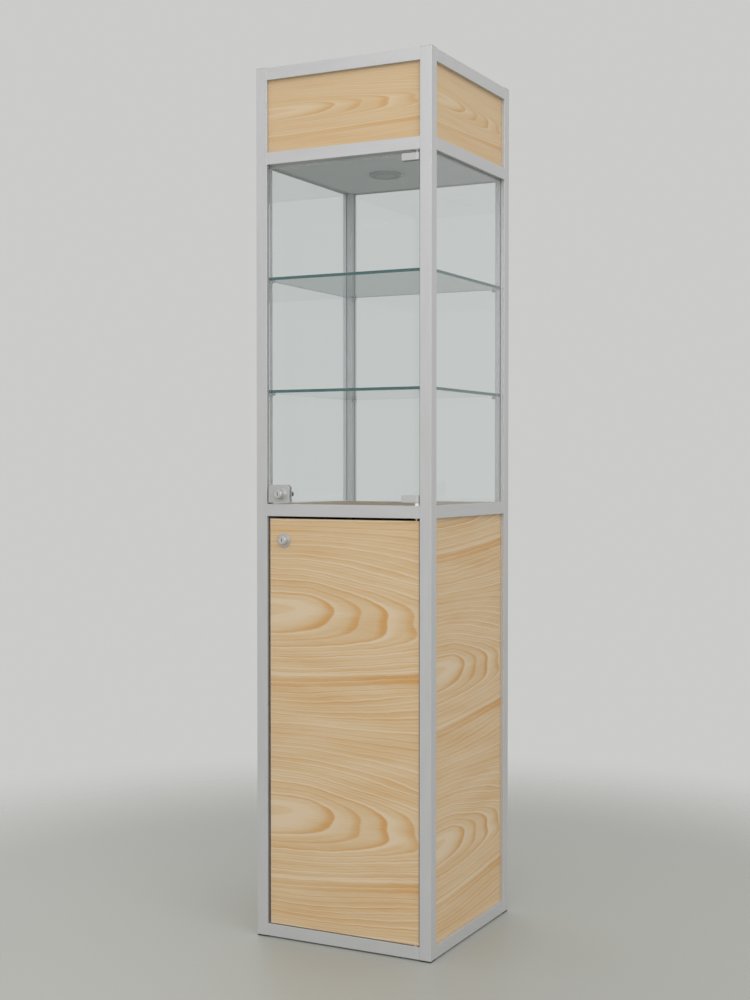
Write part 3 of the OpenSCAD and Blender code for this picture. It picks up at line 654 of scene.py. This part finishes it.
def turnTo(points, faces, axis, centre=(0, 0, 0)):
    # The drawing's axes a, b, c become the world's: c lies along the named axis, and for y it
    # runs to the front
    frames = {
        "x": ((0, 1, 0), (0, 0, 1), (1, 0, 0)),
        "y": ((1, 0, 0), (0, 0, 1), (0, -1, 0)),
        "z": ((1, 0, 0), (0, 1, 0), (0, 0, 1)),
    }
    return points @ np.array(frames[axis], float) + np.array(centre, float), faces


def cornersOf(node):
    low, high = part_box(node)
    return np.array(low), np.array(high)


def boxPlate(low, high, axis, bevel, hole=None):
    # A board or pane between two corners, its thickness along the axis. A hole is given by its
    # middle in the plane of the plate and its radius.
    a, b, c = {"x": (1, 2, 0), "y": (0, 2, 1), "z": (0, 1, 2)}[axis]
    near, far = (-high[1], -low[1]) if axis == "y" else (low[c], high[c])
    outline = np.array([(low[a], low[b]), (high[a], low[b]),
                        (high[a], high[b]), (low[a], high[b])])
    if hole:
        middle, radius = np.array(hole[:2]), hole[2]
        edge = edgeSeenFrom(middle, outline)
        points, faces = boredPlate(edge, middle, radius, near, far, bevel)
    else:
        points, faces = bevelledPlate(outline, near, far, bevel)
    return turnTo(points, faces, axis)


def holeRound(node, radius):
    # A hole in an upright plate that faces the front or the back, round the node's middle
    low, high = cornersOf(node)
    return (*(low + high)[[0, 2]] / 2, radius)


def newMesh(name, points, faces):
    mesh = bpy.data.meshes.new(name)
    mesh.from_pydata(points.tolist(), [], faces)
    mesh.validate()
    mesh.update()
    return mesh


smoothBelow = {"plate": 40, "edged": 30, "turned": 50}   # degrees between faces shaded as one


def finishPiece(mesh, slot, body, node, shape="plate", finish=None):
    # Hangs a finished mesh on its body in place of the frame's node. The piece takes the mesh's
    # name, and the slot's finish unless another one is named.
    mesh.shade_smooth()
    mesh.set_sharp_from_angle(angle=math.radians(smoothBelow[shape]))
    mesh.materials.clear()
    mesh.materials.append(materials[finish or slotFinish[slot]])
    piece = bpy.data.objects.new(mesh.name, mesh)
    scene.collection.objects.link(piece)
    flat = piece.modifiers.new("faceNormals", "WEIGHTED_NORMAL")
    flat.keep_sharp = True
    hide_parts(node)
    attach(piece, body)
    return piece


def faceNormals(mesh):
    normals = np.empty(len(mesh.polygons) * 3)
    mesh.polygons.foreach_get("normal", normals)
    return normals.reshape(-1, 3)


def loopValues(mesh):
    # Each corner's place and its face's normal, as arrays
    spots = np.empty(len(mesh.vertices) * 3)
    mesh.vertices.foreach_get("co", spots)
    corner = np.empty(len(mesh.loops), int)
    mesh.loops.foreach_get("vertex_index", corner)
    sizes = np.empty(len(mesh.polygons), int)
    mesh.polygons.foreach_get("loop_total", sizes)
    return spots.reshape(-1, 3)[corner], np.repeat(faceNormals(mesh), sizes, axis=0)


def setMap(mesh, name, along, across):
    layer = mesh.uv_layers.new(name=name)
    layer.data.foreach_set("uv", np.stack([along, across], axis=1).astype(np.float32).ravel())


# Frame tubes

tube = {
    "width": 0.025,
    "edgeRadius": 0.0006,
    "edgeSteps": 4,
    "grooveInset": 0.0075,   # from the outer face
    "grooveWidth": 0.0064,
    "grooveDepth": 0.009,
    "endRadius": 0.00025,    # softens the cut ends, so the joints show as a hairline
}

railGrooves = {
    # ring of rails: sides with a groove in its front rail, and in the other three
    "base": ((), ("up",)),
    "deck": ((), ("up", "down")),
    "canopy": (("up",), ("up", "down")),
    "top": (("down",), ("down",)),
}


def tubeOutline(grooves):
    # A square with rounded corners, each the arc centre + r (cos t, sin t), and a slot cut into
    # each side that has a groove. Sides in order: down, in, up, and the plain outer face.
    size, r = tube["width"], tube["edgeRadius"]
    near, depth = tube["grooveInset"], tube["grooveDepth"]
    far, floor = near + tube["grooveWidth"], size - depth
    slots = {
        "down": [(near, 0), (near, depth), (far, depth), (far, 0)],
        "in": [(size, near), (floor, near), (floor, far), (size, far)],
        "up": [(far, size), (far, floor), (near, floor), (near, size)],
    }
    centres = [(r, r), (size - r, r), (size - r, size - r), (r, size - r)]
    quarter = np.linspace(0, math.pi / 2, tube["edgeSteps"])
    outline = []
    for k, (side, centre) in enumerate(zip(("down", "in", "up", "outer"), centres)):
        turns = math.pi + k * math.pi / 2 + quarter
        outline.append(np.array(centre) + r * np.stack([np.cos(turns), np.sin(turns)], axis=1))
        if side in grooves:
            outline.append(np.array(slots[side]))
    return np.concatenate(outline)


def makeTube(node, grooves, lengthAxis, flips):
    # The section is carried along the tube. Its first axis runs inwards from the outer face, and
    # so does the second one of a post, while a rail's runs up. They flip on the right and at the
    # back. A section that ends up mirrored has its faces turned back.
    low, high = cornersOf(node)
    others = [k for k in range(3) if k != lengthAxis]
    points, faces = bevelledPlate(tubeOutline(grooves), low[lengthAxis], high[lengthAxis],
                                  tube["endRadius"])
    placed = np.empty_like(points)
    placed[:, lengthAxis] = points[:, 2]
    handed = 1 if lengthAxis != 1 else -1
    for section, (k, flip) in enumerate(zip(others, flips)):
        placed[:, k] = high[k] - points[:, section] if flip else low[k] + points[:, section]
        handed *= -1 if flip else 1
    if handed < 0:
        faces = [face[::-1] for face in faces]
    mesh = newMesh(node + "_tube", placed, faces)
    spots, _ = loopValues(mesh)
    setMap(mesh, "run", spots[:, lengthAxis], spots[:, others[0]] + spots[:, others[1]])
    finishPiece(mesh, "aluminium", "case", node, "edged")


def makeFrame():
    # On a post, the side called up is the second inner one
    for end in ("front", "back"):
        for side in ("left", "right"):
            makeTube(f"post_{end}_{side}", ("up", "in"), 2, (side == "right", end == "back"))
    for level, (front, other) in railGrooves.items():
        makeTube(f"{level}_rail_front", front, 0, (False, False))
        makeTube(f"{level}_rail_back", other, 0, (True, False))
        makeTube(f"{level}_rail_left", other, 1, (False, False))
        makeTube(f"{level}_rail_right", other, 1, (True, False))


makeFrame()
print("frame tubes made")


# Laminated boards

boards = {
    "edgeRadius": 0.0003,
    "drawnRepeat": 0.42,       # height of one repeat of the grain, as drawn
    "seenFrom": 0.175,         # the posts' inner faces, where a board starts to show
    "straightGrain": 0.2,      # a part of the drawing with no arches, for the edges
    "edgeStretch": 0.3,
    "facing": 0.7,             # a face looks along an axis when its normal has this much of it
    "grommetHole": 0.00905,
    "lampHole": 0.0262,
    # node: side that shows, height of the arches' middle row, height of one repeat, material
    "upright": {
        "cabinet_side_left": ("-x", 0.563, 0.350, "boardLaminate"),
        "cabinet_side_right": ("+x", 0.563, 0.350, "boardLaminate"),
        "cabinet_back": ("+y", 0.676, 0.420, "boardLaminate"),
        "header_front": ("-y", 1.708, 0.152, "headerLaminate"),
        "header_back": ("+y", 1.708, 0.152, "headerLaminate"),
        "header_left": ("-x", 1.711, 0.152, "headerLaminate"),
        "header_right": ("+x", 1.711, 0.152, "headerLaminate"),
    },
    "level": {
        "floor_panel": "boardLaminate",
        # the deck's darker copy of the laminate is painted shade
        "deck_panel": "deckLaminatePaintedShade",
        "top_panel": "boardLaminate",
    },
}

cabinetDoor = {
    "edgeRadius": 0.0006,
    "grain": ("-y", 0.676, 0.420),
}


def mapGrain(mesh, facing, middle, repeat):
    # The grain runs level on the faces and along the length of each edge. Seen from outside it
    # starts at the left post.
    spots, normals = loopValues(mesh)
    x, y, z = spots.T
    start = boards["seenFrom"]
    run = {"-y": x + start, "+y": start - x, "+x": y + start, "-x": start - y}[facing]
    flat = 1 if facing[1] == "y" else 0
    height = (z - middle) * boards["drawnRepeat"] / repeat
    onFace = np.abs(normals[:, flat]) > boards["facing"]
    upright = np.abs(normals[:, 2]) < boards["facing"]
    edgeRun = np.where(upright, z, run) * boards["edgeStretch"]
    along = np.where(onFace, run, edgeRun)
    across = np.where(onFace, height, spots[:, flat] + boards["straightGrain"])
    setMap(mesh, "grain", along, across)


def makeBoard(node, axis, slot, finish=None, hole=None):
    points, faces = boxPlate(*cornersOf(node), axis, boards["edgeRadius"], hole)
    mesh = newMesh(node + "_board", points, faces)
    finishPiece(mesh, slot, "case", node, finish=finish)
    return mesh


def makeBoards():
    holes = {"header_back": holeRound("cable_grommet", boards["grommetHole"])}
    for node, (facing, middle, repeat, finish) in boards["upright"].items():
        mesh = makeBoard(node, facing[1], "laminate", finish, holes.get(node))
        mapGrain(mesh, facing, middle, repeat)
    for node, finish in boards["level"].items():
        mesh = makeBoard(node, "z", "laminate", finish)
        spots, _ = loopValues(mesh)
        depth = spots[:, 2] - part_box(node)[1].z
        setMap(mesh, "grain", spots[:, 0] + boards["seenFrom"], spots[:, 1] + depth)
    makeBoard("ceiling_panel", "z", "ceiling_board", hole=(0, 0, boards["lampHole"]))


edgeRounding = {
    "weld": 0.01 * millimetre,
    "flatWithin": 0.6,         # degrees between faces that become one
    "sharpFrom": 35,           # degrees between faces whose edge is rounded
}


def roundedCopy(node, bevel, body, slot, segments=2):
    # A merged copy of a node with its sharp edges rounded
    mesh = frame["nodes"][node].data.copy()
    mesh.name = node + "_shaped"
    work = bmesh.new()
    work.from_mesh(mesh)
    bmesh.ops.remove_doubles(work, verts=work.verts, dist=edgeRounding["weld"])
    bmesh.ops.dissolve_limit(work, angle_limit=math.radians(edgeRounding["flatWithin"]),
                             verts=work.verts, edges=work.edges)
    work.to_mesh(mesh)
    work.free()
    piece = finishPiece(mesh, slot, body, node, "edged")
    rounding = piece.modifiers.new("edgeRound", "BEVEL")
    rounding.width = bevel
    rounding.segments = segments
    rounding.limit_method = "ANGLE"
    rounding.angle_limit = math.radians(edgeRounding["sharpFrom"])
    rounding.use_clamp_overlap = False
    piece.modifiers.move(len(piece.modifiers) - 1, 0)
    return piece


def makeDoor(values):
    door = roundedCopy("cabinet_door_panel", values["edgeRadius"], "cabinet_door", "laminate", 3)
    mapGrain(door.data, *values["grain"])


makeBoards()
makeDoor(cabinetDoor)
print("boards made")


# Glass

glass = {
    "arris": 0.0003,           # polished round along the edges
    "notchGap": 0.001,         # between a shelf and the posts
    "notchRadius": 0.003,      # inside corner of a shelf's cut-out
    "lockHole": 0.009,
    "facing": 0.9,             # less than this of the pane's own direction is an edge
}


def markEdges(mesh, thicknessAxis, edge):
    # A pane's edges take a finish of their own
    mesh.materials.append(materials[edge])
    isEdge = np.abs(faceNormals(mesh)[:, thicknessAxis]) < glass["facing"]
    mesh.polygons.foreach_set("material_index", isEdge.astype(np.int32))


def makePane(node, axis, body, hole=None):
    points, faces = boxPlate(*cornersOf(node), axis, glass["arris"], hole)
    mesh = newMesh(node + "_sheet", points, faces)
    finishPiece(mesh, "clear_glass", body, node)
    return mesh


def shelfOutline(low, high, notch, radius, steps=4):
    # A rectangle with a square bite out of each corner, whose inner corner is the arc
    # centre + radius (cos t, sin t). The bite is mirrored into each corner, and runs backwards
    # in the first and the third.
    turns = np.linspace(0, math.pi / 2, steps + 1)
    arc = np.stack([np.cos(turns), np.sin(turns)], axis=1)
    bite = np.concatenate([[(notch[0], 0)], notch - radius + radius * arc, [(0, notch[1])]])
    return np.concatenate([
        low + bite[::-1],
        (high[0], low[1]) + bite * (-1, 1),
        high - bite[::-1],
        (low[0], high[1]) + bite * (1, -1),
    ])


def makeShelf(node):
    # The outline, cut out round the posts and carried from the lower face to the upper one
    low, high = cornersOf(node)
    notch = cornersOf("post_front_left")[1][:2] + glass["notchGap"] - low[:2]
    outline = shelfOutline(low[:2], high[:2], notch, glass["notchRadius"])
    points, faces = bevelledPlate(outline, low[2], high[2], glass["arris"])
    mesh = newMesh(node + "_sheet", points, faces)
    finishPiece(mesh, "shelf_glass", "case", node)
    markEdges(mesh, 2, "shelfEdge")


def makeGlass():
    for node, axis in (("side_glass_left", "x"), ("side_glass_right", "x"), ("back_glass", "y")):
        makePane(node, axis, "case")
    hole = holeRound("glass_lock_plug", glass["lockHole"])
    doorPane = makePane("glass_door_pane", "y", "glass_door", hole)
    markEdges(doorPane, 1, "doorEdge")
    makeShelf("shelf_lower")
    makeShelf("shelf_upper")


makeGlass()
print("glass made")


# Lamp and grommet

lamp = {
    "rimRound": 0.0042,
    "lipRound": 0.0008,
    "hiddenRound": 0.0003,
    "bodyRadius": 0.026,
    "recessRadius": 0.024,
    "roundSteps": 6,
    "lensRise": 0.0006,        # how far the lens bulges downwards in its middle
    "lensEdge": 0.0004,
    "lensMiddle": 0.06,        # a flat disc closes the lens here, as a share of its radius
    "lensRings": 12,
}

grommet = {
    "bore": 0.005,
    "neck": 0.009,
    "flange": 0.002,
    "flangeRound": 0.0009,
    "boreRound": 0.0012,
    "hiddenRound": 0.0002,
    "steps": 64,
}


def makeLamp(values):
    # The section goes out over the lip, round the rim and back to the body
    low, high = cornersOf("lamp_housing")
    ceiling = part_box("ceiling_panel")[0].z
    recess, body, hidden = values["recessRadius"], values["bodyRadius"], values["hiddenRound"]
    corners = [
        (recess, ceiling, 0), (recess, low[2], values["lipRound"]),
        (high[0], low[2], values["rimRound"]), (high[0], ceiling, hidden),
        (body, ceiling, hidden), (body, high[2], values["lipRound"]), (body / 2, high[2], 0),
    ]
    points, faces = revolved(roundedProfile(corners, steps=values["roundSteps"]), (0, 0, 0), "z")
    mesh = newMesh("lamp_housing_ring", points, faces)
    finishPiece(mesh, "lamp_metal", "case", "lamp_housing", "turned")


def makeLens(values):
    # The lower face is a shallow dome: its height is low + lensRise (r / reach)^2
    low, high = cornersOf("lamp_lens")
    reach, edge = high[0], values["lensEdge"]
    radius = np.linspace(values["lensMiddle"], 1, values["lensRings"]) * (reach - edge)
    bulge = low[2] + values["lensRise"] * (radius / reach) ** 2
    rim = roundedProfile([(radius[-1], bulge[-1], 0), (reach, bulge[-1], edge / 2),
                          (reach, high[2], edge), (reach / 2, high[2], 0)])
    profile = np.concatenate([np.stack([radius, bulge], axis=1), rim[1:]])
    points, faces = revolved(profile, (0, 0, 0), "z")
    mesh = newMesh("lamp_lens_disc", points, faces)
    finishPiece(mesh, "lamp_opal", "case", "lamp_lens", "turned")


def makeGrommet(values):
    # The section goes out over the outer flange, along the neck, over the inner flange and back
    # through the bore
    low, high = cornersOf("cable_grommet")
    reach, middle = (high[0] - low[0]) / 2, (low + high) / 2
    outside, inside = -high[1], -low[1]
    bore, neck, flange = values["bore"], values["neck"], values["flange"]
    lip, hidden = values["flangeRound"], values["hiddenRound"]
    corners = [
        (bore, outside, values["boreRound"]), (reach, outside, lip),
        (reach, outside + flange, hidden), (neck, outside + flange, hidden),
        (neck, inside - flange, hidden), (reach, inside - flange, hidden),
        (reach, inside, lip), (bore, inside, values["boreRound"]),
    ]
    points, faces = revolved(roundedProfile(corners, closed=True), (middle[0], 0, middle[2]), "y",
                             closed=True, steps=values["steps"])
    mesh = newMesh("cable_grommet_ring", points, faces)
    finishPiece(mesh, "rubber", "case", "cable_grommet", "turned", "grommetRubber")


makeLamp(lamp)
makeLens(lamp)
makeGrommet(grommet)
print("lamp and grommet made")


# Metal and plastic parts, rounded from the frame

roundedParts = {
    # node: edge radius in mm, body, slot
    "post_caps": (0.4, "case", "cap_plastic"),
    "foot_glides": (0.4, "case", "glide_nylon"),
    "glass_hinge_upper": (0.7, "glass_door", "hinge_metal"),
    "glass_hinge_lower": (0.7, "glass_door", "hinge_metal"),
    "glass_lock_body": (0.5, "glass_door", "lock_metal"),
    "glass_lock_plug": (0.2, "glass_lock", "plug_metal"),
    "cabinet_lock_housing": (0.3, "cabinet_door", "lock_metal"),
    "cabinet_lock_plug": (0.2, "cabinet_lock", "plug_metal"),
    "glass_lock_cam": (0.2, "glass_lock", "steel"),
    "cabinet_lock_cam": (0.2, "cabinet_lock", "steel"),
    "door_keepers": (0.25, "case", "steel"),
    "shelf_pegs": (0.25, "case", "peg_steel"),
    "pivot_bushes": (0.15, "case", "bush_nylon"),
    "lamp_driver": (0.8, "case", "driver_plastic"),
    "panel_cleats": (0.12, "case", "cleat_aluminium"),
    "rail_connectors": (0.2, "case", "connector_zinc"),
    "glass_hinge_screws": (0.12, "glass_door", "screw_steel"),
    "cabinet_pivot_plates": (0.2, "cabinet_door", "steel"),
}
for node, (radius, body, slot) in roundedParts.items():
    roundedCopy(node, radius * millimetre, body, slot)
print("metal parts rounded")

# The nodes that stay as they are take the finish of their slot
for part in frame["record"]["subparts"]:
    shown = frame["nodes"][part["node"]]
    if not shown.hide_render:
        shown.data.materials.clear()
        shown.data.materials.append(materials[slotFinish[part["material_slot"]]])


# Camera, floor, backdrop and lamps

camera = {
    "place": (1.4575, -2.8950, 0.9803),
    "turnLeft": 27.137,     # degrees from looking straight along +Y
    "lookDown": 1.258,
    "lens": 54.59,
    "sensor": 36,
}

studio = {
    "floorRadius": 14.0,
    "floorSides": 96,
    "floorColour": (0.355, 0.36, 0.33, 1),
    "floorRoughness": 0.45,
    "floorFade": (0.95, 2.0),   # between these distances the floor passes into the backdrop
    "backdropColour": (0.60, 0.60, 0.59, 1),
    "ambientColour": (0.99, 0.995, 1.0, 1),
    "ambientStrength": 0.90,
}

softLights = {
    # name: place, aim, width, height, watts
    "keyLight": ((0.5, -4.7, 3.2), (0, 0, 1.1), 3.9, 3.9, 55),
    "sideLight": ((3.7, -2.9, 2.9), (0, 0, 1.1), 5.0, 5.0, 102),
    "fillLight": ((-4.6, 3.4, 4.0), (0, 0, 1.0), 3.4, 3.4, 37),
}


def makeCamera(values):
    data = bpy.data.cameras.new("camera")
    data.lens = values["lens"]
    data.sensor_width = values["sensor"]
    eye = bpy.data.objects.new("camera", data)
    eye.location = values["place"]
    tilt = math.radians(90 - values["lookDown"])
    eye.rotation_euler = (tilt, 0, math.radians(values["turnLeft"]))
    scene.collection.objects.link(eye)
    scene.camera = eye


def makeLight(name, place, aim, width, height, watts):
    # A square of light turned to face its aim
    data = bpy.data.lights.new(name, "AREA")
    data.shape = "RECTANGLE"
    data.size = width
    data.size_y = height
    data.energy = watts
    light = bpy.data.objects.new(name, data)
    light.location = place
    light.visible_transmission = False   # panes don't show the lamps behind them
    x, y, z = np.array(place) - np.array(aim)
    light.rotation_euler = (math.atan2(math.hypot(x, y), z), 0, math.atan2(x, -y))
    scene.collection.objects.link(light)


def seenDirectly(tree, mirrored):
    # 1 where the camera sees the surroundings, straight or through glass, and when mirrored also
    # in a reflection. 0 for rays that only bring light to the case.
    path = addNode(tree, "ShaderNodeLightPath").outputs
    shown = maths(tree, "MAXIMUM", path["Is Camera Ray"], path["Is Transmission Ray"])
    bounced = path["Diffuse Depth"]
    if mirrored:
        shown = maths(tree, "MAXIMUM", shown, path["Is Glossy Ray"])
    else:
        bounced = total(tree, bounced, path["Glossy Depth"])
    return product(tree, shown, maths(tree, "LESS_THAN", bounced, 0.5))


def makeFloor(values):
    # A flat disc, radius (cos t, sin t, 0), that fades into the backdrop away from the case
    turns = np.linspace(0, 2 * math.pi, values["floorSides"], endpoint=False)
    rim = values["floorRadius"] * np.stack([np.cos(turns), np.sin(turns), 0 * turns], axis=1)
    mesh = newMesh("floor", rim, [list(range(len(rim)))])
    material, tree, shader = newMaterial("floorCoat", {
        "Base Color": values["floorColour"], "Roughness": values["floorRoughness"],
    })
    spot = addNode(tree, "ShaderNodeTexCoord").outputs["Object"]
    away = addNode(tree, "ShaderNodeVectorMath", {0: spot}, operation="LENGTH")
    fade = ramp(tree, away.outputs["Value"], *values["floorFade"], 0, 1)
    clear = addNode(tree, "ShaderNodeBsdfTransparent")
    faded = product(tree, fade, seenDirectly(tree, False))
    showMixed(tree, "Material Output", faded, shader, clear)
    mesh.materials.append(material)
    floor = bpy.data.objects.new("floor", mesh)
    scene.collection.objects.link(floor)


def makeBackdrop(values):
    # The world shows the backdrop and lights the case with the ambient colour
    world = bpy.data.worlds.new("studio")
    world.use_nodes = True
    scene.world = world
    tree = world.node_tree
    ambient = tree.nodes["Background"]
    ambient.inputs["Color"].default_value = values["ambientColour"]
    ambient.inputs["Strength"].default_value = values["ambientStrength"]
    backdrop = addNode(tree, "ShaderNodeBackground", {
        "Color": values["backdropColour"], "Strength": 1.0,
    })
    showMixed(tree, "World Output", seenDirectly(tree, True), ambient, backdrop)


makeCamera(camera)
makeFloor(studio)
makeBackdrop(studio)
for name, values in softLights.items():
    makeLight(name, *values)
scene.view_settings.view_transform = "Standard"
print("stage set")
